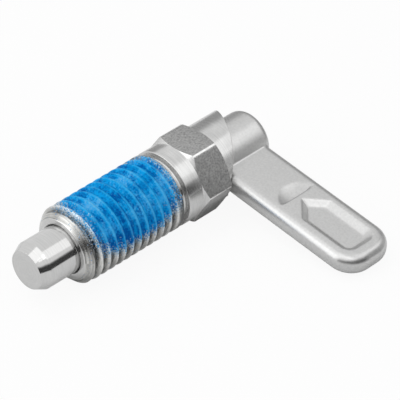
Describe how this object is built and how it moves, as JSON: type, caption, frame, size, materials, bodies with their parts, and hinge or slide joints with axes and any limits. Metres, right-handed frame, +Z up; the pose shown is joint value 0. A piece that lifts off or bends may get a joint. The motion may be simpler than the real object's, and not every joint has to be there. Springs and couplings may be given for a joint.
{
  "type": "locking bolt",
  "caption": "Spring-loaded locking bolt: threaded steel body with hexagon and cam collar, tapered pin, and a flat cast lever that turns to draw the pin in.",
  "frame": {"origin": "on the bolt axis, at the middle of the threaded shank", "axes": "-X along the bolt axis towards the pin's nose, +X towards the lever's hub; +Z up, square to the hexagon flat that it lies on; the lever's arm points to -Y, 7.5 degrees below level, at rest"},
  "size_m": [0.06, 0.0488, 0.016],
  "materials": {
    "turned_body": "turned, satin; blue sprayed thread lock on the thread",
    "ground_pin": "fine ground, satin",
    "spring_wire": "drawn wire",
    "cast_lever": "cast, fine blasted",
    "dowel": "ground"
  },
  "bodies": {
    "housing": {"body": "turned_body"},
    "spring_turn": {"compression_spring": "spring_wire"},
    "plunger": {"locking_pin": "ground_pin", "lever": "cast_lever", "cross_pin": "dowel"}
  },
  "joints": [
    {"name": "lever_turn", "type": "hinge", "parent": "housing", "child": "spring_turn", "pos_m": [0, 0, 0], "axis": [-1, 0, 0], "range_deg": [0, 180]},
    {"name": "pin_stroke", "type": "slide", "parent": "spring_turn", "child": "plunger", "axis": [1, 0, 0], "range_m": [0, 0.0126], "stiffness_N_per_m": 3500, "springref_m": -0.007, "deforming": ["compression_spring"]}
  ],
  "couplings": [
    {"joint": "lever_turn", "follows": "pin_stroke", "rad_per_m": 249.33}
  ]
}
